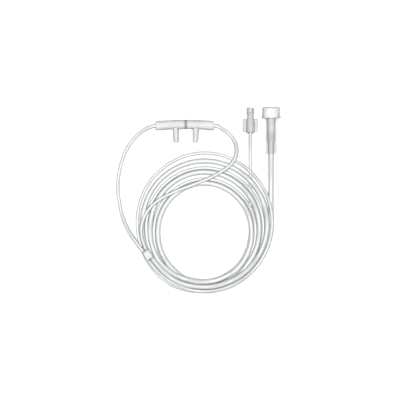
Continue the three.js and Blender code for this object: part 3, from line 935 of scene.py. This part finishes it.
def make_materials():
    return {
        "moulded_pvc": plastic("milky_pvc", (0.63, 0.64, 0.64), (0.66, 0.67, 0.67),
                               rough=(0.4, 0.5), grain=700.0, strength=0.06, milky=0.6),
        "divider": plastic("grey_divider", (0.41, 0.41, 0.42), (0.45, 0.45, 0.46),
                           rough=(0.4, 0.5), grain=900.0, strength=0.2),
        "thin_tubing": tubing("clear_tubing", (0.69, 0.7, 0.71), (0.72, 0.73, 0.73),
                              transmission=0.1, rough=(0.2, 0.32)),
        "thick_tubing": tubing("oxygen_tubing_pvc", (0.69, 0.7, 0.7), (0.72, 0.73, 0.73),
                               transmission=0.1, rough=(0.2, 0.32)),
        "luer": plastic("luer_plastic", (0.56, 0.57, 0.57), (0.59, 0.6, 0.6),
                        rough=(0.4, 0.5), grain=500.0, strength=0.08, milky=0.6),
        "connector": plastic("connector_plastic", (0.71, 0.72, 0.72), (0.74, 0.75, 0.75),
                             rough=(0.3, 0.4), grain=500.0, strength=0.08, milky=1.0),
        "clear_sleeve": plastic("clear_sleeve_pvc", (0.6, 0.61, 0.61), (0.64, 0.65, 0.65),
                                rough=(0.1, 0.16), grain=300.0, strength=0.05, alpha=0.09),
    }


# Floor and light
FLOOR_REACH = 3000
FLOOR_GREY = 0.74
SUN_ENERGY = 4.1
SUN_WIDTH = math.radians(18)
SKY_STRENGTH = 0.1
VIEW_GAMMA = 0.6  # below 1 it deepens the shading along edges, as the drawing's outlines do


def make_floor():
    sides = ((-1, -1), (1, -1), (1, 1), (-1, 1))
    floor = mesh_from("floor", [(x * FLOOR_REACH, y * FLOOR_REACH, 0) for x, y in sides], [(0, 1, 2, 3)])
    material, _, _, shader = new_material("floor_paper")
    shader.inputs["Base Color"].default_value = (FLOOR_GREY, FLOOR_GREY, FLOOR_GREY, 1)
    set_numbers(shader, Roughness=1.0, Specular_IOR_Level=0.0)
    floor.data.materials.append(material)


def make_light():
    data = bpy.data.lights.new("overhead", "SUN")
    data.energy = SUN_ENERGY
    data.angle = SUN_WIDTH
    sun = bpy.data.objects.new("overhead", data)
    bpy.context.collection.objects.link(sun)
    world = bpy.data.worlds.new("studio")
    bpy.context.scene.world = world
    world.use_nodes = True
    background = world.node_tree.nodes["Background"]
    background.inputs["Color"].default_value = (1.0, 1.0, 1.0, 1)
    background.inputs["Strength"].default_value = SKY_STRENGTH
    view = bpy.context.scene.view_settings
    view.view_transform = "Standard"
    view.gamma = VIEW_GAMMA


# The cords come first, then the pieces that they join
oxygen_coil, sample_coil = make_coil_routes()
coil_below = [(oxygen_coil, OXYGEN_TUBE[0] / 2), (sample_coil, SAMPLE_TUBE[0] / 2)]
oxygen_route = full_oxygen_route(oxygen_coil)
sample_route = full_sample_route(sample_coil)
ear_left_route = ear_route(-1, EAR_TUBE_LEFT_ROUTE, coil_below)
ear_right_route = ear_route(1, EAR_TUBE_RIGHT_ROUTE, coil_below)

ear_left = tube_mesh("ear_tubing_left", ear_left_route, *EAR_TUBE)
ear_right = tube_mesh("ear_tubing_right", ear_right_route, *EAR_TUBE)
oxygen_tube = tube_mesh("oxygen_tubing", oxygen_route, *OXYGEN_TUBE)
sample_tube = tube_mesh("sampling_tubing", sample_route, *SAMPLE_TUBE)

nasal_piece = make_nasal_piece()
divider = make_divider()
junction = make_junction()
luer = make_luer()
oxygen_body = make_oxygen_body()
oxygen_sleeve = make_oxygen_sleeve()

materials = make_materials()
finishes = [
    (ear_left, "thin_tubing", "clear_tubing", ["ear_tube_left"]),
    (ear_right, "thin_tubing", "clear_tubing", ["ear_tube_right"]),
    (oxygen_tube, "thick_tubing", "clear_tubing", ["oxygen_tube_lead", "tubing_coil"]),
    (sample_tube, "thin_tubing", "clear_tubing", ["sample_tube_lead", "tubing_coil"]),
    (nasal_piece, "moulded_pvc", "moulded_pvc", ["nasal_body"]),
    (divider, "divider", "divider", ["lumen_divider"]),
    (junction, "moulded_pvc", "moulded_pvc", ["junction_sleeve"]),
    (luer, "luer", "rigid_connector", ["luer_connector"]),
    (oxygen_body, "connector", "rigid_connector", ["oxygen_connector_body"]),
    (oxygen_sleeve, "clear_sleeve", "clear_sleeve", ["oxygen_connector_sleeve"]),
]
for piece, finish, slot, nodes in finishes:
    piece.data.materials.clear()
    piece.data.materials.append(materials[finish])
    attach(piece, "root")
    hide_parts(*nodes)


make_floor()
make_light()
